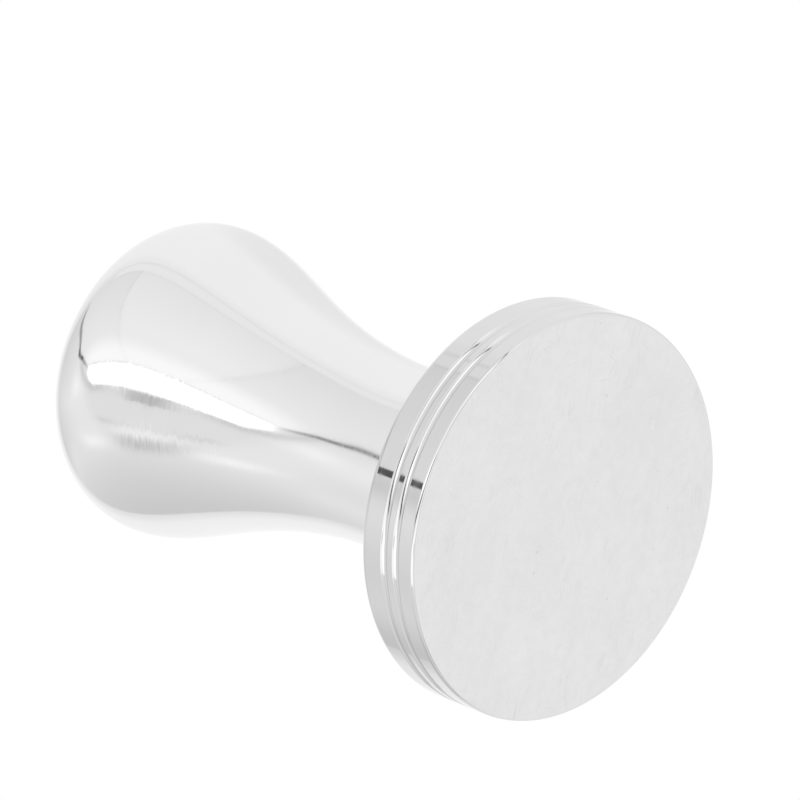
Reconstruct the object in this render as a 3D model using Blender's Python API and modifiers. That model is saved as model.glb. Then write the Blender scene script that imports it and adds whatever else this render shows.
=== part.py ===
"""Espresso tamper: a solid turned base with two rim grooves, a polished palm
grip, the M8 set screw that joins them and the rubber ring in the joint.

The origin is the centre of the flat tamping face, and +Z runs along the axis
of the tamper towards the grip. Sizes are in millimetres and are turned into
metres where meshes are made. Outline points are (radius, height).
"""

import math
from collections import namedtuple

import bmesh
import bpy
from mathutils import Matrix, Vector

MM = 0.001

# ---------------------------------------------------------------- dimensions
# Base
BASE_RADIUS = 29.0  # 58 mm group heads
BASE_THICKNESS = 10.0  # at the rim
FACE_EDGE_ROUND = 0.4  # edge between tamping face and side
RIM_EDGE_ROUND = 0.6  # edge between side and upper face
GROOVE_WIDTH = 1.25
GROOVE_DEPTH = 0.4
GROOVE_HEIGHTS = (5.62, 3.32)  # centres, from the top down
HUB_RADIUS = 13.25
HUB_HEIGHT = 2.5  # above the upper face
HUB_WALL = 0.3  # straight part between the hub's edge and its fillet
HUB_FILLET_WIDTH = 4.2
SEAT_EDGE_ROUND = 0.3  # facing edges of hub and grip
HUB_TOP = BASE_THICKNESS + HUB_HEIGHT

# Joint between hub and grip
JOINT_GAP = 0.3
RING_RADIUS = 9.5  # centre line of the rubber ring
RING_SECTION = 0.7  # radius of its section
RING_CLEARANCE = 0.1  # under the ring
RING_GROOVE_WIDTH = 2.0
RING_GROOVE_FLOOR = HUB_TOP - 1.3

# Grip: control polygon (radius, height) of the turned outline. The curve is a
# cubic B-spline that starts at the first point and ends on the axis.
GRIP_LOW = HUB_TOP + JOINT_GAP
GRIP_FOOT_RADIUS = HUB_RADIUS
GRIP_CONTROL_POINTS = (
    (GRIP_FOOT_RADIUS, GRIP_LOW + SEAT_EDGE_ROUND),
    (13.5, 21.8), (13.15, 30.5), (13.45, 39.3),
    (14.75, 47.7), (16.65, 55.5), (19.3, 63.4),
    (22.0, 70.6), (23.5, 76.6), (22.8, 80.8),
    (20.15, 84.3), (12.45, 87.3), (0.0, 87.3),
)

# M8 x 1.25 thread. The widths are the flats at crest and root, along the axis.
Thread = namedtuple("Thread", "crest_radius root_radius crest_width root_width")
PITCH = 1.25
STUD_THREAD = Thread(crest_radius=3.98, root_radius=3.22, crest_width=0.16, root_width=0.31)
THREAD_PLAY = 0.15  # radial
FLANK_PLAY = 0.09  # along the axis, each side

# Set screw
STUD_LOW = 4.0
STUD_LENGTH = 20.0
STUD_CHAMFER = 0.7
STUD_SPARE_PITCHES = 2  # thread built below the lower end, then trimmed
ENVELOPE_MARGIN = 0.4  # trimming envelope outside the crests
KEY_ACROSS_FLATS = 4.0
KEY_DEPTH = 5.0
KEY_OVERRUN = 1.0  # key cutter below the stud

# Tapped holes
BASE_HOLE_FLOOR = 2.4
GRIP_HOLE_DEPTH = 12.9  # full diameter, above the joint face
DRILL_RADIUS = STUD_THREAD.root_radius + 0.2
MOUTH_CHAMFER = 0.45
CHAMFER_OVERLAP = 0.15  # the chamfer's cone ends this far inside the drill
HOLE_OVERRUN = 2.0  # cutters beyond the mouth
ROOT_OVERLAP = 0.05  # the thread cutter's root lies inside the stud's

# Fineness
BASE_STEPS = 48
GRIP_STEPS = 40
GRIP_POINTS = 24
GRIP_CROWDING = 1.25  # above 1, points gather towards the crown
THREAD_STEPS = 16
CUTTER_STEPS = 2 * THREAD_STEPS
RING_STEPS = 32
RING_SIDES = 8
GROOVE_STEPS = 6
FILLET_STEPS = 4
OUTER_EDGE_STEPS = 3
SEAT_EDGE_STEPS = 2

# Merge distances, metres
AXIS_MERGE = 0.000001
TURN_WELD = 0.000002

# ---------------------------------------------------------------- scene
for old in list(bpy.data.objects):
    bpy.data.objects.remove(old, do_unlink=True)

tamper = bpy.data.collections.new("espresso_tamper")
cutters = bpy.data.collections.new("cutters")
bpy.context.scene.collection.children.link(tamper)
bpy.context.scene.collection.children.link(cutters)
cutters.hide_render = True


def plain_material(name, colour, roughness, metallic=1.0):
    material = bpy.data.materials.new(name)
    material.use_nodes = True
    shader = material.node_tree.nodes["Principled BSDF"]
    shader.inputs["Base Color"].default_value = (*colour, 1.0)
    shader.inputs["Roughness"].default_value = roughness
    shader.inputs["Metallic"].default_value = metallic
    material.diffuse_color = (*colour, 1.0)
    return material


POLISHED = plain_material("polished_steel", colour=(0.80, 0.80, 0.80), roughness=0.06)
TURNED = plain_material("turned_steel", colour=(0.74, 0.74, 0.74), roughness=0.16)
ZINC = plain_material("zinc_plated_steel", colour=(0.56, 0.57, 0.58), roughness=0.35)
RUBBER = plain_material("black_rubber", colour=(0.02, 0.02, 0.02), roughness=0.6, metallic=0.0)


def add_piece(obj, material):
    tamper.objects.link(obj)
    obj.data.materials.append(material)


def add_cutter(obj):
    cutters.objects.link(obj)
    obj.hide_render = True
    obj.display_type = "WIRE"
    return obj


# ---------------------------------------------------------------- outlines
def arc(centre, across, up, start, end, steps):
    """Points on an elliptical arc with half-axes across and up, angles in degrees."""
    points = []
    for k in range(steps + 1):
        angle = math.radians(start + (end - start) * k / steps)
        points.append((centre[0] + across * math.cos(angle), centre[1] + up * math.sin(angle)))
    return points


def round_arc(centre, radius, start, end, steps):
    return arc(centre, radius, radius, start, end, steps)


def groove(height):
    """A round-bottomed groove in the side, from its upper lip to its lower lip."""
    half = GROOVE_WIDTH / 2
    radius = (half * half + GROOVE_DEPTH * GROOVE_DEPTH) / (2 * GROOVE_DEPTH)
    lip = math.degrees(math.asin(half / radius))
    centre = (BASE_RADIUS - GROOVE_DEPTH + radius, height)
    return round_arc(centre, radius, 180 - lip, 180 + lip, GROOVE_STEPS)


def b_spline(control, count):
    """A clamped cubic B-spline through de Boor's construction."""
    degree = 3
    spans = len(control) - degree
    knots = [0.0] * degree + [k / spans for k in range(spans + 1)] + [1.0] * degree
    points = []
    for n in range(count + 1):
        along = 1 - (1 - n / count) ** GRIP_CROWDING
        span = min(degree + int(along * spans), len(control) - 1)
        blend = [Vector(control[span - degree + j]) for j in range(degree + 1)]
        for level in range(1, degree + 1):
            for j in range(degree, level - 1, -1):
                low = knots[span - degree + j]
                high = knots[span + 1 + j - level]
                share = (along - low) / (high - low)
                blend[j] = blend[j - 1] * (1 - share) + blend[j] * share
        points.append(tuple(blend[degree]))
    return points


def base_outline():
    """From the hub's top on the axis, down the side, to the tamping face."""
    ring_in = RING_RADIUS - RING_GROOVE_WIDTH / 2
    ring_out = RING_RADIUS + RING_GROOVE_WIDTH / 2
    points = [
        (0.0, HUB_TOP),
        (ring_in, HUB_TOP),
        (ring_in, RING_GROOVE_FLOOR),
        (ring_out, RING_GROOVE_FLOOR),
        (ring_out, HUB_TOP),
    ]
    seat_centre = (HUB_RADIUS - SEAT_EDGE_ROUND, HUB_TOP - SEAT_EDGE_ROUND)
    points += round_arc(seat_centre, SEAT_EDGE_ROUND, 90, 0, SEAT_EDGE_STEPS)

    fillet_height = HUB_HEIGHT - SEAT_EDGE_ROUND - HUB_WALL
    fillet_centre = (HUB_RADIUS + HUB_FILLET_WIDTH, BASE_THICKNESS + fillet_height)
    points += arc(fillet_centre, HUB_FILLET_WIDTH, fillet_height, 180, 270, FILLET_STEPS)

    rim_centre = (BASE_RADIUS - RIM_EDGE_ROUND, BASE_THICKNESS - RIM_EDGE_ROUND)
    points += round_arc(rim_centre, RIM_EDGE_ROUND, 90, 0, OUTER_EDGE_STEPS)
    for height in GROOVE_HEIGHTS:
        points += groove(height)
    face_centre = (BASE_RADIUS - FACE_EDGE_ROUND, FACE_EDGE_ROUND)
    points += round_arc(face_centre, FACE_EDGE_ROUND, 0, -90, OUTER_EDGE_STEPS)
    points.append((0.0, 0.0))
    return points


def grip_outline():
    """From the crown on the axis, down the side, to the joint face."""
    points = b_spline(GRIP_CONTROL_POINTS, GRIP_POINTS)
    points.reverse()
    foot_centre = (GRIP_FOOT_RADIUS - SEAT_EDGE_ROUND, GRIP_LOW + SEAT_EDGE_ROUND)
    # The spline already holds the arc's first point.
    points += round_arc(foot_centre, SEAT_EDGE_ROUND, 0, -90, SEAT_EDGE_STEPS)[1:]
    points.append((0.0, GRIP_LOW))
    return points


# ---------------------------------------------------------------- shapes
def screw(name, outline, steps, low=0.0, offset=0.0, turns=1):
    """An outline, raised by low, turned about Z. Each turn climbs by offset."""
    mesh = bpy.data.meshes.new(name)
    points = [(radius * MM, 0.0, (height + low) * MM) for radius, height in outline]
    mesh.from_pydata(points, [(k, k + 1) for k in range(len(points) - 1)], [])
    obj = bpy.data.objects.new(name, mesh)
    modifier = obj.modifiers.new("turn", "SCREW")
    modifier.axis = "Z"
    modifier.angle = math.tau
    modifier.steps = steps
    modifier.render_steps = steps
    modifier.screw_offset = offset * MM
    modifier.iterations = turns
    modifier.use_smooth_shade = True
    modifier.use_merge_vertices = offset == 0.0
    modifier.merge_threshold = AXIS_MERGE
    return obj


def turned_cutter(name, outline):
    return add_cutter(screw(name, outline, CUTTER_STEPS))


def close_end(bm, rim):
    """Fill an open end of a rod with a fan to the axis."""
    height = sum(edge.verts[0].co.z for edge in rim) / len(rim)
    tip = bm.verts.new((0.0, 0.0, height))
    for edge in rim:
        bm.faces.new((edge.verts[0], edge.verts[1], tip))


def helix_rod(name, thread, low, turns, origin=0.0):
    """A closed right-hand threaded rod. One pitch of the thread's outline is
    screwed up the axis, its turns are welded, and each end is closed to the
    axis. origin is the height of the object's own origin."""
    flank = (PITCH - thread.crest_width - thread.root_width) / 2
    outline = [
        (thread.root_radius, PITCH),
        (thread.root_radius, PITCH - thread.root_width),
        (thread.crest_radius, PITCH - thread.root_width - flank),
        (thread.crest_radius, flank),
        (thread.root_radius, 0.0),
    ]
    guide = screw(name + "_outline", outline, THREAD_STEPS, low=low, offset=PITCH, turns=turns)
    add_cutter(guide)
    weld = guide.modifiers.new("weld", "WELD")
    weld.merge_threshold = TURN_WELD
    bpy.context.view_layer.update()
    depsgraph = bpy.context.evaluated_depsgraph_get()
    rod = bpy.data.meshes.new_from_object(guide.evaluated_get(depsgraph))
    bpy.data.objects.remove(guide, do_unlink=True)

    bm = bmesh.new()
    bm.from_mesh(rod)
    middle = (low + PITCH * (turns + 1) / 2) * MM
    for side in (-1, 1):
        close_end(bm, [
            edge for edge in bm.edges
            if edge.is_boundary and (edge.verts[0].co.z - middle) * side > 0
        ])
    bmesh.ops.recalc_face_normals(bm, faces=bm.faces)
    bmesh.ops.triangulate(bm, faces=bm.faces)
    # The booleans need normals that point outwards.
    if bm.calc_volume(signed=True) < 0:
        bmesh.ops.reverse_faces(bm, faces=bm.faces)
    bmesh.ops.translate(bm, verts=bm.verts, vec=(0.0, 0.0, -origin * MM))
    bm.to_mesh(rod)
    bm.free()
    rod.name = name
    return bpy.data.objects.new(name, rod)


def boolean(obj, other, operation="DIFFERENCE"):
    modifier = obj.modifiers.new(other.name, "BOOLEAN")
    modifier.operation = operation
    modifier.object = other
    modifier.solver = "EXACT"


def hole_thread():
    """The stud's thread, wider by the play at every radius."""
    stud = STUD_THREAD
    stud_flank = (PITCH - stud.crest_width - stud.root_width) / 2
    slope = stud_flank / (stud.crest_radius - stud.root_radius)
    crest_radius = stud.crest_radius + THREAD_PLAY
    root_radius = stud.root_radius - ROOT_OVERLAP
    crest_width = stud.crest_width + 2 * (FLANK_PLAY - THREAD_PLAY * slope)
    root_width = PITCH - crest_width - 2 * slope * (crest_radius - root_radius)
    return Thread(crest_radius, root_radius, crest_width, root_width)


def tap_hole(obj, name, mouth, floor, first_pitch, turns):
    """Cut a blind M8 hole: drill, mouth chamfer and thread. It opens at mouth
    and runs to floor, which may be above or below it. The thread starts
    first_pitch pitches above the stud's lower end, so it is in mesh with it."""
    thread = hole_thread()
    way = 1.0 if floor > mouth else -1.0
    outside = mouth - way * HOLE_OVERRUN
    wide = thread.crest_radius + MOUTH_CHAMFER
    narrow = DRILL_RADIUS - CHAMFER_OVERLAP
    cone_end = mouth + way * (wide - narrow)
    drill = [(0.0, outside), (DRILL_RADIUS, outside), (DRILL_RADIUS, floor), (0.0, floor)]
    cone = [
        (0.0, outside),
        (wide + HOLE_OVERRUN, outside),
        (wide, mouth),
        (narrow, cone_end),
        (0.0, cone_end),
    ]
    # Outlines run downwards, so that the turned faces point outwards.
    if way > 0:
        drill.reverse()
        cone.reverse()
    boolean(obj, turned_cutter(name + "_drill", drill))
    boolean(obj, turned_cutter(name + "_chamfer", cone))

    centring = (STUD_THREAD.root_width - thread.root_width) / 2
    start = STUD_LOW + first_pitch * PITCH - centring
    boolean(obj, add_cutter(helix_rod(name + "_thread", thread, start, turns)))


# ---------------------------------------------------------------- pieces
def build_base():
    base = screw("tamper_base", base_outline(), BASE_STEPS)
    add_piece(base, TURNED)
    tap_hole(base, "base_hole", HUB_TOP, BASE_HOLE_FLOOR, first_pitch=-1, turns=9)


def build_grip():
    """The grip, with its own origin at the joint face."""
    grip = screw("handle", grip_outline(), GRIP_STEPS, low=-GRIP_LOW)
    add_piece(grip, POLISHED)
    floor = GRIP_LOW + GRIP_HOLE_DEPTH
    tap_hole(grip, "grip_hole", GRIP_LOW, floor, first_pitch=5, turns=11)
    return grip


def stud_envelope():
    """A chamfered cylinder that trims the stud's thread to length."""
    top = STUD_LOW + STUD_LENGTH
    end_radius = STUD_THREAD.crest_radius - STUD_CHAMFER
    side_radius = STUD_THREAD.crest_radius + ENVELOPE_MARGIN
    bevel = STUD_CHAMFER + ENVELOPE_MARGIN
    return turned_cutter("stud_envelope", [
        (0.0, top),
        (end_radius, top),
        (side_radius, top - bevel),
        (side_radius, STUD_LOW + bevel),
        (end_radius, STUD_LOW),
        (0.0, STUD_LOW),
    ])


def key_socket():
    """The hexagonal socket in the stud's lower end."""
    corner_radius = KEY_ACROSS_FLATS / math.sqrt(3) * MM
    centre = STUD_LOW + (KEY_DEPTH - KEY_OVERRUN) / 2
    bm = bmesh.new()
    bmesh.ops.create_cone(
        bm, cap_ends=True, segments=6, radius1=corner_radius, radius2=corner_radius,
        depth=(KEY_DEPTH + KEY_OVERRUN) * MM,
        matrix=Matrix.Translation((0.0, 0.0, centre * MM)),
    )
    mesh = bpy.data.meshes.new("key_socket")
    bm.to_mesh(mesh)
    bm.free()
    return add_cutter(bpy.data.objects.new("key_socket", mesh))


def build_stud():
    """The set screw, with its own origin at the grip's joint face."""
    low = STUD_LOW - STUD_SPARE_PITCHES * PITCH
    turns = math.ceil(STUD_LENGTH / PITCH) + STUD_SPARE_PITCHES + 1
    stud = helix_rod("threaded_stud", STUD_THREAD, low, turns, origin=GRIP_LOW)
    add_piece(stud, ZINC)
    boolean(stud, stud_envelope(), "INTERSECT")
    boolean(stud, key_socket())
    return stud


def build_ring():
    """The rubber ring in the hub's groove."""
    height = RING_GROOVE_FLOOR + RING_CLEARANCE + RING_SECTION
    bpy.ops.mesh.primitive_torus_add(
        major_radius=RING_RADIUS * MM, minor_radius=RING_SECTION * MM,
        major_segments=RING_STEPS, minor_segments=RING_SIDES,
        location=(0.0, 0.0, height * MM),
    )
    ring = bpy.context.object
    ring.name = "o_ring"
    ring.data.name = "o_ring"
    for owner in list(ring.users_collection):
        owner.objects.unlink(ring)
    add_piece(ring, RUBBER)
    for polygon in ring.data.polygons:
        polygon.use_smooth = True


def add_unscrew_axis(children):
    """The grip and its stud turn and rise together on the axis of the thread."""
    axis = bpy.data.objects.new("unscrew_axis", None)
    axis.location.z = GRIP_LOW * MM
    tamper.objects.link(axis)
    for child in children:
        child.parent = axis


build_base()
turning_pieces = [build_grip(), build_stud()]
build_ring()
add_unscrew_axis(turning_pieces)
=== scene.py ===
"""Looks of the espresso tamper: a mirror polished palm grip on a turned steel
base with two rim grooves and a satin tamping face, in a white photo tent.

The origin is the centre of the tamping face and +Z runs along the tamper's
axis to the grip. Sizes are in millimetres; MM takes them to Blender's metres.
"""

import math

import bpy
import numpy as np
from mathutils import Matrix, Vector


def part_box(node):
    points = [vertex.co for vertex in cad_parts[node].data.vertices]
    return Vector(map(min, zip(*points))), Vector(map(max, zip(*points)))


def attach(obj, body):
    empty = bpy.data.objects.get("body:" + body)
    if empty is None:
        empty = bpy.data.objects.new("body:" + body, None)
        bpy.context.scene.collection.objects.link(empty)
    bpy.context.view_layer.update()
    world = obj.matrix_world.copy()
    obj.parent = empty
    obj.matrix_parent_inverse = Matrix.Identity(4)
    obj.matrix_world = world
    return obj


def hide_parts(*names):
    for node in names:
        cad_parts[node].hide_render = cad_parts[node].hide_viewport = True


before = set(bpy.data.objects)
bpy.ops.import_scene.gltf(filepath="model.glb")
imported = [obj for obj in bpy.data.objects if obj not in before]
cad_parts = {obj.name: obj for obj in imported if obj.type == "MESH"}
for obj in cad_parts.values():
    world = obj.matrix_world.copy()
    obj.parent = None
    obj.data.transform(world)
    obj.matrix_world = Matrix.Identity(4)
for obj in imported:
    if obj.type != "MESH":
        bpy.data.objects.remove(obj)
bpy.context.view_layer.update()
MM = 0.001


def box_mm(node):
    low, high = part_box(node)
    return low / MM, high / MM


# ------------------------------------------------------------------ sizes
_, base_high = box_mm("tamper_base")
grip_low, grip_high = box_mm("handle")
stud_low, stud_high = box_mm("threaded_stud")
ring_low, ring_high = box_mm("o_ring")

BASE_STEPS = 336
BASE_RADIUS = base_high.x
HUB_TOP = base_high.z
HUB_HEIGHT = 2.5
BASE_THICKNESS = HUB_TOP - HUB_HEIGHT
FACE_EDGE_ROUND = 0.4
FACE_EDGE_FALL = 0.5
RIM_EDGE_ROUND = 0.5
RIM_EDGE_FALL = 0.85
GROOVE_WIDTH = 1.25
GROOVE_DEPTH = 0.4
GROOVE_HEIGHTS = (5.62, 3.32)
GROOVE_LIP = 0.05
GROOVE_LIP_DROP = 0.012
HUB_RADIUS = 13.25
HUB_WALL = 0.3  # straight wall between the seat's edge and the fillet
HUB_FILLET_WIDTH = 4.2
SEAT_EDGE_ROUND = 0.3
FLAT_MARGIN = 0.015  # from a flat's ends to its extra rows

RING_STEPS = 160
RING_SECTION_ROWS = 28
RING_HOLE_RADIUS = ring_high.x - (ring_high.z - ring_low.z)
RING_RADIUS = (ring_high.x + RING_HOLE_RADIUS) / 2
RING_SECTION = 0.7
RING_FLASH = 0.022
RING_FLASH_SPREAD = 0.12
RING_HEIGHT = (ring_low.z + ring_high.z) / 2
RING_GROOVE_WIDTH = 2.0
RING_GROOVE_DEPTH = 1.3
RING_LIP_ROUND = 0.08
RING_FLOOR_ROUND = 0.15

GRIP_STEPS = 288
GRIP_ROWS = 190
GRIP_LOW = grip_low.z
GRIP_TOP = grip_high.z
GRIP_FOOT_RADIUS = HUB_RADIUS
# Control polygon of the grip's turned outline, (height, radius): a clamped
# cubic B-spline from the foot to the crown.
GRIP_OUTLINE = (
    (GRIP_LOW + SEAT_EDGE_ROUND, GRIP_FOOT_RADIUS),
    (21.8, 13.5), (30.5, 13.15), (39.3, 13.45), (47.7, 14.75),
    (55.5, 16.65), (63.4, 19.3), (70.6, 22.0), (76.6, 23.5),
    (80.8, 22.8), (84.3, 20.15), (GRIP_TOP, 12.45), (GRIP_TOP, 0.0),
)

STUD_STEPS = 144
STUD_ROWS_PER_TURN = 16
HOLE_ROWS_PER_TURN = 12
PITCH = 1.25
STUD_CREST = 3.98
STUD_ROOT = 3.22
CREST_WIDTH = 0.16
ROOT_WIDTH = 0.31
THREAD_PLAY = 0.15
FLANK_PLAY = 0.09
STUD_LOW = stud_low.z
STUD_TOP = stud_high.z
STUD_CHAMFER = 0.7
STUD_TIP_RADIUS = STUD_ROOT - 0.35
KEY_ACROSS_FLATS = 4.0
KEY_DEPTH = 4.5
KEY_LEAD = 0.12
DRILL_RADIUS = STUD_ROOT + 0.2
BASE_HOLE_FLOOR = 2.4
GRIP_HOLE_TOP = GRIP_LOW + 12.9
MOUTH_RADIUS = STUD_CREST + THREAD_PLAY + 0.45
THREAD_FADE = 0.8  # length over which a tapped thread runs out
THREAD_FREE_END = 0.4


# ------------------------------------------------------------------ outlines
def arc(centre_r, centre_z, radius_r, radius_z, start, end, count):
    points = []
    for k in range(count + 1):
        turn = math.radians(start + (end - start) * k / count)
        points.append((centre_r + radius_r * math.cos(turn), centre_z + radius_z * math.sin(turn)))
    return points


def between(start, end, part, whole=1):
    return tuple(low + (high - low) * part / whole for low, high in zip(start, end))


def line(start, end, count):
    """Points from start to end, both left out."""
    return [between(start, end, k, count) for k in range(1, count)]


def flat(start, end, count):
    """As line, with a row close to either end so that the flat shades flat."""
    share = FLAT_MARGIN / math.hypot(end[0] - start[0], end[1] - start[1])
    first, last = between(start, end, share), between(end, start, share)
    return [first] + line(first, last, count) + [last]


def b_spline(control, count):
    """Cubic curve (radius, height), its rows closer together toward the end."""
    degree = 3
    spans = len(control) - degree
    knots = [0.0] * degree + [k / spans for k in range(spans + 1)] + [1.0] * degree
    points = []
    for k in range(count + 1):
        along = 1 - (1 - k / count) ** 1.2
        span = min(degree + int(along * spans), len(control) - 1)
        blend = [Vector(control[span - degree + j]) for j in range(degree + 1)]
        for level in range(1, degree + 1):
            for j in range(degree, level - 1, -1):
                low = knots[span - degree + j]
                high = knots[span + 1 + j - level]
                share = (along - low) / (high - low)
                blend[j] = blend[j - 1] * (1 - share) + blend[j] * share
        points.append((blend[degree].y, blend[degree].x))
    return points


def groove(height):
    """Round-bottomed groove with softened lips, from its upper lip down."""
    half = GROOVE_WIDTH / 2
    radius = (half * half + GROOVE_DEPTH * GROOVE_DEPTH) / (2 * GROOVE_DEPTH)
    centre = BASE_RADIUS - GROOVE_DEPTH + radius
    lip = math.degrees(math.asin(half / radius))
    lip_radius = BASE_RADIUS - GROOVE_LIP_DROP
    outer, inner = GROOVE_LIP * 0.8, GROOVE_LIP * 0.25
    points = [(BASE_RADIUS, height + half + outer), (lip_radius, height + half + inner)]
    points += arc(centre, height, radius, radius, 180 - lip + 4, 180 + lip - 4, 22)
    points += [(lip_radius, height - half - inner), (BASE_RADIUS, height - half - outer)]
    return points


# ------------------------------------------------------------------ meshes
def thread(z, turn, low, crest, root, crest_width, root_width):
    """Radius of a right-hand thread at height z and the given angles."""
    flank = (PITCH - crest_width - root_width) / 2
    phase = np.mod((z - low) / PITCH - turn / math.tau, 1.0) * PITCH
    places = [0, flank, flank + crest_width, 2 * flank + crest_width, PITCH]
    return np.interp(phase, places, [root, crest, crest, root, root])


def hole_thread(z, turn):
    """The tapped thread: the stud's, widened by the play and cut off at the
    drilled radius."""
    crest = STUD_CREST + THREAD_PLAY
    root = STUD_ROOT - 0.05
    slope = (PITCH - CREST_WIDTH - ROOT_WIDTH) / 2 / (STUD_CREST - STUD_ROOT)
    crest_width = CREST_WIDTH + 2 * (FLANK_PLAY - THREAD_PLAY * slope)
    root_width = PITCH - crest_width - 2 * slope * (crest - root)
    low = STUD_LOW - (ROOT_WIDTH - root_width) / 2
    return np.maximum(thread(z, turn, low, crest, root, crest_width, root_width), DRILL_RADIUS)


def angles(steps):
    return np.arange(steps) * math.tau / steps


def tapped(mouth, floor, steps):
    """Rows of a tapped blind hole from its mouth to its floor."""
    way = 1.0 if floor > mouth else -1.0
    depth = abs(floor - mouth)
    turn = angles(steps)
    rows = []
    count = int(round(depth / PITCH * HOLE_ROWS_PER_TURN))
    for k in range(count + 1):
        deep = depth * k / count
        z = mouth + way * deep
        radius = hole_thread(z, turn)
        left = depth - deep
        if left < THREAD_FREE_END + THREAD_FADE:
            fade = max(0.0, (left - THREAD_FREE_END) / THREAD_FADE)
            radius = DRILL_RADIUS + (radius - DRILL_RADIUS) * fade
        rows.append((np.maximum(radius, MOUTH_RADIUS - deep), z))
    # cone left by the drill
    rows.append((np.full(steps, DRILL_RADIUS * 0.5), floor + way * DRILL_RADIUS * 0.3))
    rows.append((0.0, floor + way * DRILL_RADIUS * 0.6))
    return rows


def lathe(name, rows, steps, ring=False):
    """A closed body from rows (radius, height) run down its outer side. A
    radius is a number or one per step, and 0 is a pole. A ring's rows close on
    themselves instead."""
    turn = angles(steps)
    cos, sin = np.cos(turn), np.sin(turn)
    points, starts = [], []
    total = 0
    for radius, z in rows:
        pole = np.isscalar(radius) and radius == 0.0
        starts.append((total, pole))
        if pole:
            points.append(np.array([[0.0, 0.0, z]]))
            total += 1
        else:
            radius = np.broadcast_to(np.asarray(radius, float), (steps,))
            points.append(np.stack([radius * cos, radius * sin, np.full(steps, z)], 1))
            total += steps
    here = np.arange(steps)
    after = (here + 1) % steps
    faces = []
    pairs = list(zip(starts[:-1], starts[1:]))
    if ring:
        pairs.append((starts[-1], starts[0]))
    for (upper, upper_pole), (lower, lower_pole) in pairs:
        if upper_pole:
            corners = [np.full(steps, upper), lower + here, lower + after]
        elif lower_pole:
            corners = [upper + here, np.full(steps, lower), upper + after]
        else:
            corners = [upper + here, lower + here, lower + after, upper + after]
        faces += np.stack(corners, 1).tolist()
    mesh = bpy.data.meshes.new(name)
    mesh.from_pydata((np.concatenate(points) * MM).tolist(), [], faces)
    mesh.validate()
    obj = bpy.data.objects.new(name, mesh)
    bpy.context.scene.collection.objects.link(obj)
    mesh.polygons.foreach_set("use_smooth", [True] * len(mesh.polygons))
    mesh.set_sharp_from_angle(angle=math.radians(32))
    return obj


def seat_outline():
    """The hub's top face from the hole's mouth out, with the O-ring's groove."""
    ring_in = RING_RADIUS - RING_GROOVE_WIDTH / 2
    ring_out = RING_RADIUS + RING_GROOVE_WIDTH / 2
    floor = HUB_TOP - RING_GROOVE_DEPTH
    lip, corner = RING_LIP_ROUND, RING_FLOOR_ROUND
    points = flat((MOUTH_RADIUS, HUB_TOP), (ring_in - lip, HUB_TOP), 4)
    points += arc(ring_in - lip, HUB_TOP - lip, lip, lip, 90, 0, 3)
    points += arc(ring_in + corner, floor + corner, corner, corner, 180, 270, 4)
    points += arc(ring_out - corner, floor + corner, corner, corner, 270, 360, 4)
    points += arc(ring_out + lip, HUB_TOP - lip, lip, lip, 180, 90, 3)
    edge = HUB_RADIUS - SEAT_EDGE_ROUND
    points += flat(points[-1], (edge, HUB_TOP), 4)
    points += arc(edge, HUB_TOP - SEAT_EDGE_ROUND, SEAT_EDGE_ROUND, SEAT_EDGE_ROUND, 90, 0, 8)
    return points


def base_rows(steps):
    rows = list(reversed(tapped(HUB_TOP, BASE_HOLE_FLOOR, steps)))
    points = seat_outline()
    # fillet at the hub's foot, upper face and rim
    rise = HUB_HEIGHT - SEAT_EDGE_ROUND - HUB_WALL
    fillet_centre = HUB_RADIUS + HUB_FILLET_WIDTH
    points += arc(fillet_centre, BASE_THICKNESS + rise, HUB_FILLET_WIDTH, rise, 180, 270, 24)
    edge = BASE_RADIUS - RIM_EDGE_ROUND
    points += flat(points[-1], (edge, BASE_THICKNESS), 10)
    low = BASE_THICKNESS - RIM_EDGE_FALL
    points += arc(edge, low, RIM_EDGE_ROUND, RIM_EDGE_FALL, 90, 0, 26)
    for height in GROOVE_HEIGHTS:
        cut = groove(height)
        points += flat((BASE_RADIUS, low), cut[0], 4)
        points += cut
        low = cut[-1][1]
    points += flat((BASE_RADIUS, low), (BASE_RADIUS, FACE_EDGE_FALL), 5)
    edge = BASE_RADIUS - FACE_EDGE_ROUND
    points += arc(edge, FACE_EDGE_FALL, FACE_EDGE_ROUND, FACE_EDGE_FALL, 0, -90, 18)
    points += flat((edge, 0.0), (0.5, 0.0), 8)
    return rows + points + [(0.0, 0.0)]


def grip_rows(steps):
    points = b_spline(GRIP_OUTLINE, GRIP_ROWS)
    points.reverse()
    points[0] = (0.0, GRIP_TOP)
    edge = SEAT_EDGE_ROUND
    points += arc(GRIP_FOOT_RADIUS - edge, GRIP_LOW + edge, edge, edge, 0, -90, 8)[1:]
    points += line(points[-1], (MOUTH_RADIUS, GRIP_LOW), 6)
    return points + tapped(GRIP_LOW, GRIP_HOLE_TOP, steps)


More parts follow.
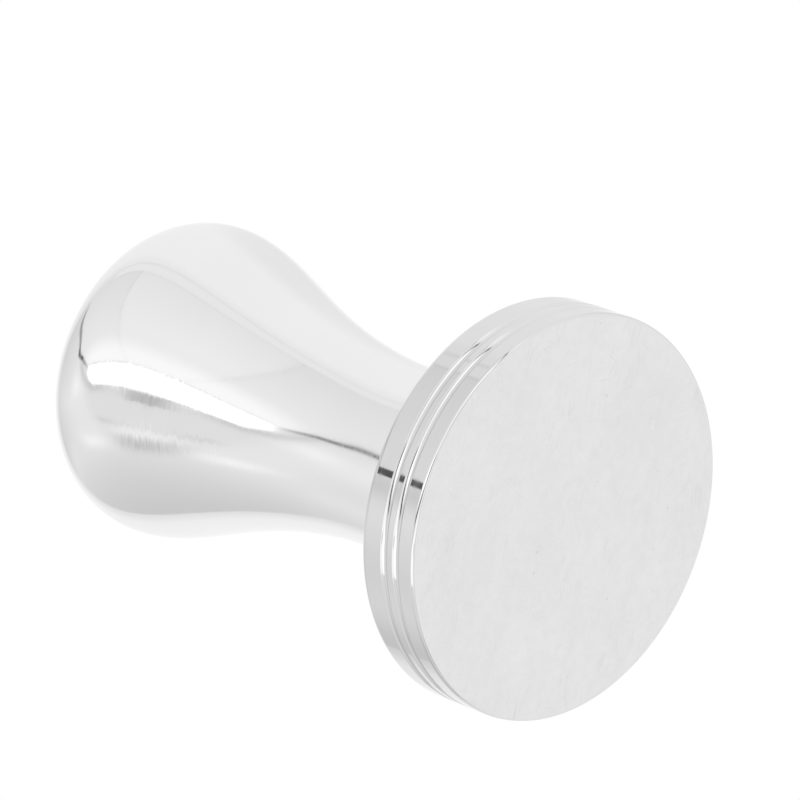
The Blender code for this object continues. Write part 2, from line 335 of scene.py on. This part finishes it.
def stud_rows(steps):
    turn = angles(steps)
    rows = [(0.0, STUD_TOP), (STUD_TIP_RADIUS, STUD_TOP)]
    count = int(round((STUD_TOP - STUD_LOW) / PITCH * STUD_ROWS_PER_TURN))
    for k in range(count + 1):
        z = STUD_TOP + (STUD_LOW - STUD_TOP) * k / count
        end = min(STUD_TOP - z, z - STUD_LOW)
        radius = thread(z, turn, STUD_LOW, STUD_CREST, STUD_ROOT, CREST_WIDTH, ROOT_WIDTH)
        rows.append((np.minimum(radius, STUD_CREST - STUD_CHAMFER + end), z))
    # hexagon socket in the lower end, corners at 0, 60, 120 degrees and so on
    socket = KEY_ACROSS_FLATS / 2 / np.cos(np.mod(turn, math.pi / 3) - math.pi / 6)
    lead = KEY_ACROSS_FLATS / math.sqrt(3) + KEY_LEAD
    rows.append((np.full(steps, lead), STUD_LOW))
    rows.append((np.minimum(socket + 0.02, lead), STUD_LOW + KEY_LEAD))
    for k in range(4):
        rows.append((socket, STUD_LOW + 0.2 + (KEY_DEPTH - 0.2) * k / 3))
    rows.append((socket * 0.5, STUD_LOW + KEY_DEPTH + 0.35))
    rows.append((0.0, STUD_LOW + KEY_DEPTH + 0.6))
    return rows


def ring_rows():
    rows = []
    for k in range(RING_SECTION_ROWS):
        turn = math.tau * k / RING_SECTION_ROWS
        # moulding flash where the two halves of the mould met
        flash = RING_FLASH * (math.exp(-(math.sin(turn) / RING_FLASH_SPREAD) ** 2))
        radius = RING_SECTION - RING_FLASH + flash
        rows.append((RING_RADIUS + radius * math.cos(turn), RING_HEIGHT - radius * math.sin(turn)))
    return rows


# ------------------------------------------------------------------ node maths
DEGREES = 180 / math.pi


class Field:
    """A value in a node tree that adds, multiplies and so on like a number."""

    def __init__(self, tree, socket):
        self.tree, self.socket = tree, socket

    def math(self, operation, *others):
        return build("ShaderNodeMath", self, *others, operation=operation)

    def __add__(self, other):
        return self.math("ADD", other)

    __radd__ = __add__

    def __mul__(self, other):
        return self.math("MULTIPLY", other)

    __rmul__ = __mul__

    def __sub__(self, other):
        return self.math("SUBTRACT", other)

    def __rsub__(self, other):
        return constant(self.tree, other).math("SUBTRACT", self)

    def __truediv__(self, other):
        return self.math("DIVIDE", other)

    def __neg__(self):
        return self.math("MULTIPLY", -1)

    def __pow__(self, other):
        return self.math("POWER", other)


def plug(value, slot):
    """Links a field to a socket, or sets the socket to a plain value."""
    if isinstance(value, Field):
        value.tree.links.new(value.socket, slot)
    else:
        slot.default_value = value


def build(kind, *values, output=0, **settings):
    """One output of a new node whose first sockets take the values."""
    tree = next(value.tree for value in values if isinstance(value, Field))
    node = tree.nodes.new(kind)
    for name, setting in settings.items():
        setattr(node, name, setting)
    for slot, value in zip(node.inputs, values):
        plug(value, slot)
    return Field(tree, node.outputs[output])


def source(tree, kind, output):
    return Field(tree, tree.nodes.new(kind).outputs[output])


def constant(tree, value):
    field = source(tree, "ShaderNodeValue", 0)
    field.socket.default_value = value
    return field


def ramp(value, start, end, low=0, high=1):
    """Smooth step from low at start to high at end."""
    return build("ShaderNodeMapRange", value, start, end, low, high, interpolation_type="SMOOTHSTEP")


def bell(value, at, width):
    offset = (value - at) / width
    return (-(offset * offset)).math("EXPONENT")


def mix(first, second, share):
    return share * (second - first) + first


def most(first, second):
    return first.math("MAXIMUM", second)


def least(first, second):
    return first.math("MINIMUM", second)


def swing(texture_value, by):
    """Turns 0 to 1 into a change of half of by either way."""
    return (texture_value - 0.5) * by


def turn_of(across, along):
    return across.math("ARCTAN2", along) * DEGREES


def distance(x, y, extra=None):
    """Length of (x, y); extra, added under the root, keeps it off zero."""
    square = x * x + y * y
    return (square if extra is None else square + extra) ** 0.5


def combine(*parts):
    return build("ShaderNodeCombineXYZ", *parts)


def separate(vector):
    first = build("ShaderNodeSeparateXYZ", vector)
    return [Field(first.tree, socket) for socket in first.socket.node.outputs]


def dot(vector, axis):
    return build("ShaderNodeVectorMath", vector, axis, operation="DOT_PRODUCT", output="Value")


def texture(kind, vector, **values):
    node = vector.tree.nodes.new(kind)
    plug(vector, node.inputs["Vector"])
    for name, value in values.items():
        node.inputs[name].default_value = value
    return node


def noise(vector, scale=1, detail=2, roughness=0.5, distortion=0):
    node = texture("ShaderNodeTexNoise", vector, Scale=scale, Detail=detail,
                   Roughness=roughness, Distortion=distortion)
    return Field(vector.tree, node.outputs["Fac"])


# ------------------------------------------------------------------ surroundings
# The tamper lies on its side on the white table of a photo tent, with its
# axis level. Directions in degrees: height above the table; bearing from the
# tamper's axis, positive to the right; east and north away from straight
# overhead, with north on bearing 0; south the bearing from the front, positive
# toward east; west the bearing turned the other way. Greys are as the eye
# would read them, 0 to 255 and above for lamps.
TENT_UP = Vector((0.477, 0.877, -0.06)).normalized()
TENT_AHEAD = (Vector((0, 0, 1)) - TENT_UP * TENT_UP.z).normalized()
TENT_RIGHT = TENT_AHEAD.cross(TENT_UP)
CAMERA_POSE = Matrix((
    (-0.339923, -0.940453, 0.0, -0.007550),
    (-0.644104, 0.232809, 0.728649, 0.723672),
    (-0.685260, 0.247685, -0.684887, -0.643274),
    (0.0, 0.0, 0.0, 1.0),
))
TOWARD_LENS = CAMERA_POSE.col[2].to_3d()
POLISH_TINT = 0.86


def left_wall(bearing, west, height):
    """Wall left of the stand, its soft lights, and its run to the front."""
    grey = 0.42 * most(least(height, 50), 0) + 208.5
    grey += 9 * bell(bearing, at=-41, width=7) * ramp(height, start=42, end=15)
    grey += 6 * bell(bearing, at=-14, width=8) * ramp(height, start=45, end=25)
    grey -= 0.62 * most(west - 50, 0)
    grey += 5 * bell(bearing, at=-12, width=10) * bell(height, at=41, width=6)
    grey += 12 * bell(bearing, at=-2, width=9) * bell(height, at=49, width=7.5)
    slant = bearing + 0.9 * (height - 50)
    grey += 14 * bell(slant, at=-51, width=7) * bell(height, at=50, width=8)
    wall = 200 + ramp(west, start=92, end=112, high=30) - ramp(west, start=126, end=142, high=6)
    wall += ramp(height, start=28, end=50, high=20) * ramp(west, start=112, end=92)
    wall -= ramp(height, start=14, end=2, high=14) * ramp(west, start=98, end=112)
    return mix(grey, wall, ramp(west, start=68, end=82))


def right_wall(bearing, height):
    """Wall right of the stand, with the tent's upright seam."""
    grey = 0.25 * most(least(height, 45), 0) + 220.5 + ramp(height, start=43, end=57, high=17)
    seam = bearing - 62.5 - 0.07 * height
    grey += 6 * ramp(seam, start=0, end=1) * ramp(height, start=52, end=38)
    return grey - 9 * bell(seam, at=0, width=0.6)


def stand_offset(bearing, height):
    """Bearing from the middle of the stand, which leans and bends."""
    offset = bearing - 16.4 - ramp(height, start=10, end=30, high=3.4)
    offset -= ramp(height, start=38, end=60, high=3)
    return offset - 1.6 * bell(height, at=3, width=3.5) + 2.1 * bell(height, at=40, width=4.8)


def roof(east, north):
    """Roof without its lamps."""
    grey = 222 + 17 * bell(east, at=-20.5, width=3.3) * ramp(north, start=19, end=12)
    grey += 6 * ramp(north, start=16, end=30) * ramp(east, start=-6, end=-20)
    return grey - 14 * bell(east, at=-15.5, width=1.6) * bell(north, at=18, width=4.5)


def lamp_window(grey, east, north):
    """Dark borders of the lamp window, a strip running from above the stand to
    the front, and how far the window covers each direction, 0 to 1."""
    edge = (east - 4.6) * 0.926 + (north - 25) * 0.378
    corner = (east - 5.7) * 0.79 - (north - 24.4) * 0.613
    inner = least(edge, corner)
    outer = (east - 25.3) * -0.865 - (north - 9.2) * 0.502 + 0.2 * bell(north, at=24, width=7)
    depth = ramp(north, start=12, end=24, low=9, high=23) * ramp(north, start=46, end=38)
    depth *= ramp(east, start=-7, end=1)
    border = inner + 2 + ramp(north, start=25, end=31, high=2.3)
    grey -= depth * bell(border, at=0, width=2.7) * ramp(inner, start=-0.2, end=-1)
    grey -= 24 * bell(outer, at=-0.95, width=0.6) * ramp(north, start=34, end=26)
    window = ramp(inner, start=-1.1, end=-0.4) * ramp(north, start=29.9, end=29.1)
    window *= ramp(outer, start=-0.35, end=0.35)
    return grey, window * ramp(north, start=-26, end=-20)


def lit_panels(grey, bearing, height, east, north, south):
    """Second strip, west of overhead and down to the table, and front panel."""
    strip = most(ramp(north, start=-46, end=-36) * ramp(east, start=-29.2, end=-27.6),
                 ramp(south, start=-15, end=-13))
    low_part = ramp(south, start=-32, end=-30) * ramp(south, start=-18, end=-20)
    strip = most(strip, low_part * ramp(height, start=8, end=18))
    strip *= ramp((east + 12) * -0.957 - (north - 12) * 0.292, start=-0.6, end=0.6)
    strip = strip * ramp(north, start=10.5, end=7) * ramp(height, start=-2, end=0)
    grey = mix(grey, ramp(north, start=-50, end=-30, low=262, high=274), strip)
    panel = ramp(bearing, start=100, end=108) * ramp(bearing, start=140, end=133)
    panel = panel * ramp(height, start=-2.5, end=-0.5) * ramp(height, start=50, end=42)
    return mix(grey, ramp(height, start=16, end=34, low=274, high=262), panel)


def dark_bars(grey, height, east, north, stand):
    """Black roof beam from overhead to the front, and the stand, a narrow
    black upright."""
    beam = east - 4 - 0.265 * most(4 - north, 0) - ramp(north, start=6, end=10, high=1.3)
    beam = ramp(beam.math("ABSOLUTE"), start=4.2, end=2.8) * ramp(north, start=13, end=4)
    grey = mix(grey, 66, beam * ramp(north, start=-42, end=-38))
    bar = ramp(stand, start=-2.2, end=-1.4) * ramp(stand, start=2.1, end=1.3)
    bar = bar * ramp(height, start=3, end=7) * ramp(height, start=60, end=50)
    bar = bar * ramp(height, start=32, end=40, low=0.5)
    return mix(grey, 88, bar * ramp(height, start=44, end=50, low=1, high=0.62))


def lay_table(grey, bearing, west, side, height):
    """Table, and the two seams of the sheet beyond its far edge."""
    table = ramp(height, start=-14, end=-2.5, low=236.5, high=224.5)
    table -= ramp(height, start=-46, end=-60, high=9)
    table += 8 * bell(bearing, at=-20, width=14) * bell(height, at=-37, width=12)
    table -= 3 * bell(bearing, at=4, width=16) * bell(height, at=-12, width=8)
    table -= 4 * bell(bearing, at=-4, width=18) * ramp(height, start=-44, end=-50)
    table = mix(table, 240, ramp(side, start=78, end=92) * ramp(height, start=-3, end=-8))
    table -= 26 * ramp(west, start=98, end=112) * ramp(height, start=-24, end=-10)
    table += 22 * bell(bearing, at=127, width=12) * bell(height, at=-13, width=5)
    shade_line = 100 * bell(height, at=-4.3, width=1.3) * ramp(bearing, start=84, end=96)
    table -= shade_line * ramp(bearing, start=146, end=136)
    far = ramp(bearing, start=34, end=42) * ramp(bearing, start=92, end=84)
    upper = height - 2 + 0.02 * (bearing - 40)
    lower = height + 4.2 + 0.06 * (bearing - 40)
    table += 5 * far * ramp(height, start=-10, end=-6)
    cover = mix(ramp(height, start=-2.3, end=-1.5), ramp(upper, start=-0.5, end=0.5), far)
    grey = mix(table, grey, cover)
    sheet = far * ramp(upper, start=0.4, end=-0.4) * ramp(lower, start=-0.4, end=0.4)
    grey = mix(grey, 231, sheet)
    return grey - far * (8 * bell(upper, at=0.3, width=0.7) + 11 * bell(lower, at=0, width=0.8))


def tent(bearing, height, east, north, south, from_lens):
    """Grey of the tent, and how far the lamp window covers each direction."""
    west = -bearing
    stand = stand_offset(bearing, height)
    right_side = ramp(stand, start=-1, end=1) * ramp(bearing, start=12, end=18)
    grey = mix(left_wall(bearing, west, height), right_wall(bearing, height),
               right_side * ramp(height, start=74, end=66))
    overhead = ramp(height, start=57, end=67) * ramp(stand, start=2, end=-2)
    grey = mix(grey, roof(east, north), overhead)
    grey -= 34 * bell(east, at=-28.4, width=4.8) * bell(north, at=12.8, width=3.4)
    # front, either side of the lens
    side = bearing.math("ABSOLUTE")
    grey = mix(grey, 232, ramp(side, start=136, end=150) * ramp(height, start=70, end=60))
    grey -= 16 * bell(bearing, at=154, width=9) * bell(height, at=9, width=11)
    grey, window = lamp_window(grey, east, north)
    grey = lit_panels(grey, bearing, height, east, north, south)
    grey = dark_bars(grey, height, east, north, stand)
    grey = lay_table(grey, bearing, west, side, height)
    # the lens in its black hood
    return mix(grey, 34, ramp(from_lens, start=8, end=6)), window


def build_world():
    """Only glossy rays see the tent; all others see plain white."""
    world = bpy.data.worlds.new("photo_tent")
    bpy.context.scene.world = world
    world.use_nodes = True
    tree = world.node_tree
    tree.nodes.clear()
    out = tree.nodes.new("ShaderNodeOutputWorld")
    background = tree.nodes.new("ShaderNodeBackground")
    tree.links.new(background.outputs[0], out.inputs[0])
    direction = source(tree, "ShaderNodeTexCoord", "Generated")
    ahead = dot(direction, TENT_AHEAD)
    right = dot(direction, TENT_RIGHT)
    height = least(most(dot(direction, TENT_UP), -1), 1).math("ARCSINE") * DEGREES
    from_lens = least(most(dot(direction, TOWARD_LENS), -1), 1).math("ARCCOSINE") * DEGREES
    away = 90 - height
    level = distance(ahead, right, extra=1e-9)
    grey, window = tent(turn_of(right, ahead), height, away * right / level,
                        away * ahead / level, turn_of(right, -ahead), from_lens)
    # sRGB curve from grey to light, made up for what the polish takes
    glow = (((grey / 255 + 0.055) / 1.055) ** 2.4) / POLISH_TINT
    glow += 0.5 * window
    glossy = source(tree, "ShaderNodeLightPath", "Is Glossy Ray")
    plug(mix(constant(tree, 1), glow, glossy), background.inputs["Color"])
    background.inputs["Strength"].default_value = 1
    world.cycles.sampling_method = "NONE"


# ------------------------------------------------------------------ materials
def new_material(name, colour, metallic=1):
    """Material, its shader, and the place on the piece in millimetres."""
    material = bpy.data.materials.new(name)
    material.use_nodes = True
    tree = material.node_tree
    shader = tree.nodes["Principled BSDF"]
    shader.inputs["Base Color"].default_value = (*colour, 1)
    shader.inputs["Metallic"].default_value = metallic
    material.diffuse_color = (*colour, 1)
    x, y, z = separate(source(tree, "ShaderNodeTexCoord", "Object"))
    return material, shader, x / MM, y / MM, z / MM


def finish(shader, grey, roughness, lean, tint=(1, 1, 1)):
    """Sets colour and roughness, and leans the normal by a small vector."""
    colour = build("ShaderNodeCombineColor", *(grey * part for part in tint))
    plug(colour, shader.inputs["Base Color"])
    plug(roughness, shader.inputs["Roughness"])
    normal = source(grey.tree, "ShaderNodeNewGeometry", "Normal")
    leaning = build("ShaderNodeVectorMath", normal, combine(*lean), operation="ADD")
    unit = build("ShaderNodeVectorMath", leaning, operation="NORMALIZE")
    plug(unit, shader.inputs["Normal"])


def polished_steel():
    """Mirror polished on a buffing wheel: fine lines run round the axis, and
    the shoulder of the bulb keeps the most of them."""
    material, shader, x, y, z = new_material("polished_steel", (POLISH_TINT,) * 3)
    fine = noise(combine(x * 0.25, y * 0.25, z * 3.4), roughness=0.7)
    broad = noise(combine(x * 0.10, y * 0.10, z * 0.55), detail=1)
    patch = noise(combine(x * 0.16, y * 0.16, z * 0.10))
    shoulder = bell(z, at=66, width=12) * 0.75 + 0.25
    patchy = ramp(patch, start=0.42, end=0.58, low=0.35, high=1.25)
    lines = (fine - 0.5) * shoulder * patchy * 0.040
    lines += (broad - 0.5) * shoulder * 0.005
    # a coarser band of buffing marks on one side of the bulb
    turn = turn_of(y, x)
    radius = distance(x, y, extra=0.01)
    band = bell(turn, at=65, width=11) * bell(z, at=61, width=11)
    coarse = noise(combine(x * 0.22, y * 0.22, z * 3 + 50), roughness=0.7)
    sway = (coarse - 0.5) * band * 0.13
    haze = noise(combine(x * 0.05, y * 0.05, z * 0.05), detail=3, roughness=0.6)
    worn = noise(combine(x * 0.3, y * 0.3, z * 8 + 31), roughness=0.7)
    # hazier at the neck, and worn most at the shoulder
    rough = ramp(haze, start=0.35, end=0.7, low=0.04, high=0.06)
    rough += bell(z, at=28, width=21) * 0.065
    rough += ramp(worn, start=0.44, end=0.6, high=0.09) * (0.35 + 0.65 * shoulder)
    grey = ramp(haze, start=0.3, end=0.75, low=POLISH_TINT + 0.004, high=POLISH_TINT - 0.008)
    finish(shader, grey, rough, lean=(-(y / radius * sway), x / radius * sway, lines))
    return material


def turned_side():
    """Bright turned side of the base: a mirror with the faintest tool lines, and painted shade in
    two darker bands round the rim.
    """
    material, shader, x, y, z = new_material("turned_steel_side", (0.735,) * 3)
    tool = noise(combine(x * 0.03, y * 0.03, z * 7), roughness=0.6)
    wave = noise(combine(x * 0.12, y * 0.12, z * 0.25), detail=1)
    turn = turn_of(y, x)
    radius = distance(x, y)
    sway = ramp(turn, start=98, end=114, high=0.013) * ramp(turn, start=170, end=140)
    lines = swing(tool, by=0.008) + swing(wave, by=0.004)
    rub = noise(combine(x * 0.3, y * 0.3, z * 0.9), detail=4, roughness=0.7)
    rough = ramp(rub, start=0.4, end=0.75, low=0.03, high=0.09)
    # painted shade: two darker bands round the rim, at about 35 and 81.5 degrees, stand in for
    # darker reflections there
    painted_shade = 0.09 * bell(turn, at=35, width=7) + 0.11 * bell(turn, at=81.5, width=3)
    grey = ramp(rub, start=0.45, end=0.8, low=0.737, high=0.722) * (1 - painted_shade)
    finish(shader, grey, rough, lean=(y / radius * sway, -(x / radius * sway), lines))
    return material


def turned_top():
    """Upper face and hub: fine turned rings about the axis."""
    material, shader, x, y, _ = new_material("turned_steel_top", (0.735,) * 3)
    radius = distance(x, y)
    ring = noise(combine(radius * 4.5, x * 0.02, y * 0.02), detail=3, roughness=0.65)
    coarse = noise(combine(radius * 1.1, x * 0.02, y * 0.02), detail=1)
    lean = swing(ring, by=0.05) + swing(coarse, by=0.015)
    rough = ramp(ring, start=0.3, end=0.7, low=0.13, high=0.24)
    grey = ramp(ring, start=0.3, end=0.7, low=0.742, high=0.722)
    finish(shader, grey, rough, lean=(x / radius * lean, y / radius * lean, 0))
    return material


# Sets of hair scratches: angle in degrees, length and width in mm, noise seed,
# and the noise level above which a scratch shows.
HAIR_SCRATCHES = (
    (168, 8, 0.16, 1, 0.66),
    (154, 6, 0.15, 11, 0.68),
    (188, 5, 0.15, 41, 0.68),
    (60, 5, 0.16, 21, 0.72),
    (110, 4, 0.16, 31, 0.72),
)


def scratches(x, y, angle, length, width, seed, keep):
    """Sparse straight hair scratches at one angle: 1 on a scratch, else 0."""
    cos, sin = math.cos(math.radians(angle)), math.sin(math.radians(angle))
    bend = noise(combine(x * 0.07, y * 0.07, seed), detail=1) * 3
    along, across = x * cos + y * sin, y * cos - x * sin + bend
    hairs = noise(combine(along / length, across / width, seed), detail=0)
    broken = noise(combine(along * 0.16, across * 0.5, seed + 7), detail=1)
    return ramp(hairs, start=keep, end=keep + 0.05) * ramp(broken, start=0.52, end=0.62)


def satin_face():
    """Tamping face: satin ground, clouded by wiping, with hair scratches and
    tiny pits from use."""
    material, shader, x, y, _ = new_material("satin_steel_face", (0.76,) * 3)
    place = combine(x, y, 0)
    cloud = noise(place, scale=0.085, detail=5, roughness=0.62, distortion=0.5)
    wiped = combine(x * 0.045 - y * 0.01, y * 0.17 + x * 0.04, 3)
    wipe = noise(wiped, detail=5, roughness=0.62)
    mottle = noise(place, scale=0.55, detail=4, roughness=0.7)
    grain = noise(place, scale=2.6, roughness=0.7)
    cuts = scratches(x, y, *HAIR_SCRATCHES[0])
    for scratch_set in HAIR_SCRATCHES[1:]:
        cuts = most(cuts, scratches(x, y, *scratch_set))
    rub = noise(place, scale=0.11, detail=3, roughness=0.6)
    rubbed = ramp(rub, start=0.40, end=0.62, low=0.25)
    # pits at the centres of a few cells, picked by cell colour
    cells = texture("ShaderNodeTexVoronoi", place, Scale=0.34)
    chance = separate(Field(place.tree, cells.outputs["Color"]))[0]
    pit = ramp(Field(place.tree, cells.outputs["Distance"]), start=0.085, end=0.02)
    pit *= ramp(chance, start=0.76, end=0.80)
    grey = 0.768 + swing(cloud, by=0.085) + swing(wipe, by=0.055)
    grey = grey + swing(mottle, by=0.085) + swing(grain, by=0.055)
    grey = grey - cuts * rubbed * 0.075 - pit * 0.14
    rough = 0.30 + swing(cloud, by=0.10) + cuts * 0.05
    lean_x, lean_y = (
        swing(noise(combine(x * 3, y * 3, seed), detail=1), by=0.05) for seed in (5, 9)
    )
    finish(shader, grey, rough, lean=(lean_x, lean_y, 0))
    return material


def zinc_steel():
    """Zinc plated set screw: slightly blue, spangled, worn on the crests."""
    material, shader, x, y, z = new_material("zinc_steel", (0.56, 0.57, 0.58))
    spangle = noise(combine(x, y, z), scale=1.1, detail=4, roughness=0.7)
    worn = ramp(distance(x, y), start=3.6, end=3.95)
    grey = 0.50 + swing(spangle, by=0.22) + worn * 0.14
    rough = 0.36 + swing(spangle, by=0.25) - worn * 0.10
    tool = noise(combine(x * 0.3, y * 0.3, z * 6))
    finish(shader, grey, rough, lean=(0, 0, swing(tool, by=0.12)), tint=(0.98, 1, 1.02))
    return material


def seal_rubber():
    """Black nitrile: dull, faintly mottled, with a dusting of bloom."""
    material, shader, x, y, z = new_material("seal_rubber", (0.02, 0.02, 0.02), metallic=0)
    bloom = noise(combine(x, y, z), scale=0.9, detail=4, roughness=0.7)
    grey = ramp(bloom, start=0.35, end=0.8, low=0.014, high=0.040)
    rough = ramp(bloom, start=0.3, end=0.7, low=0.48, high=0.68)
    lean = swing(noise(combine(x * 4, y * 4, z * 4), detail=1), by=0.12)
    finish(shader, grey, rough, lean=(lean, 0, lean))
    return material


# ------------------------------------------------------------------ pieces
def add_piece(obj, body, node, slot, *materials):
    for material in materials:
        obj.data.materials.append(material)
    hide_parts(node)
    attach(obj, body)


def build_base():
    base = lathe("tamper_base_turned", base_rows(BASE_STEPS), BASE_STEPS)
    add_piece(base, "base", "tamper_base", "turned_steel",
              turned_side(), turned_top(), satin_face())
    for polygon in base.data.polygons:
        centre = polygon.center / MM
        if centre.z < 0.002 and polygon.normal.z < -0.9:
            polygon.material_index = 2
        elif (centre.z > BASE_THICKNESS - 0.3
              or math.hypot(centre.x, centre.y) < BASE_RADIUS - 1.0):
            polygon.material_index = 1


build_base()
add_piece(lathe("handle_polished", grip_rows(GRIP_STEPS), GRIP_STEPS),
          "handle", "handle", "polished_steel", polished_steel())
add_piece(lathe("stud_threaded", stud_rows(STUD_STEPS), STUD_STEPS),
          "handle", "threaded_stud", "zinc_steel", zinc_steel())
add_piece(lathe("o_ring_moulded", ring_rows(), RING_STEPS, ring=True),
          "seal", "o_ring", "seal_rubber", seal_rubber())


# ------------------------------------------------------------------ floor
def pale_floor():
    """Pale paint that clears away from the tamper and from below. Lengths here
    are in metres."""
    material = bpy.data.materials.new("pale_floor")
    material.use_nodes = True
    tree = material.node_tree
    tree.nodes.clear()
    out = tree.nodes.new("ShaderNodeOutputMaterial")
    paint = tree.nodes.new("ShaderNodeBsdfDiffuse")
    clear = tree.nodes.new("ShaderNodeBsdfTransparent")
    blend = tree.nodes.new("ShaderNodeMixShader")
    x, y, z = separate(source(tree, "ShaderNodeTexCoord", "Object"))
    speck = noise(combine(x, y, z), scale=900)
    tone = ramp(speck, start=0.3, end=0.7, low=0.885, high=0.905)
    plug(build("ShaderNodeCombineColor", tone, tone, tone), paint.inputs["Color"])
    away = ramp(distance(x, y), start=0.12, end=0.5)
    below = source(tree, "ShaderNodeNewGeometry", "Backfacing")
    plug(most(away, below), blend.inputs[0])
    tree.links.new(paint.outputs[0], blend.inputs[1])
    tree.links.new(clear.outputs[0], blend.inputs[2])
    tree.links.new(blend.outputs[0], out.inputs[0])
    return material


def build_floor(half=0.9, drop=0.00005):
    """A floor just under the tamping face, seen by the camera alone."""
    mesh = bpy.data.meshes.new("floor")
    corners = [(-half, -half, 0), (half, -half, 0), (half, half, 0), (-half, half, 0)]
    mesh.from_pydata(corners, [], [(0, 1, 2, 3)])
    floor = bpy.data.objects.new("floor", mesh)
    bpy.context.scene.collection.objects.link(floor)
    floor.location.z = -drop
    for ray in ("diffuse", "glossy", "transmission", "volume_scatter", "shadow"):
        setattr(floor, "visible_" + ray, False)
    mesh.materials.append(pale_floor())


build_floor()
build_world()

# ------------------------------------------------------------------ camera
camera_data = bpy.data.cameras.new("camera")
camera_data.sensor_width = 36.0
camera_data.lens = 317.79
camera_data.clip_start, camera_data.clip_end = 0.05, 20.0
camera = bpy.data.objects.new("camera", camera_data)
bpy.context.scene.collection.objects.link(camera)
camera.matrix_world = CAMERA_POSE
bpy.context.scene.camera = camera
bpy.context.scene.view_settings.view_transform = "Standard"
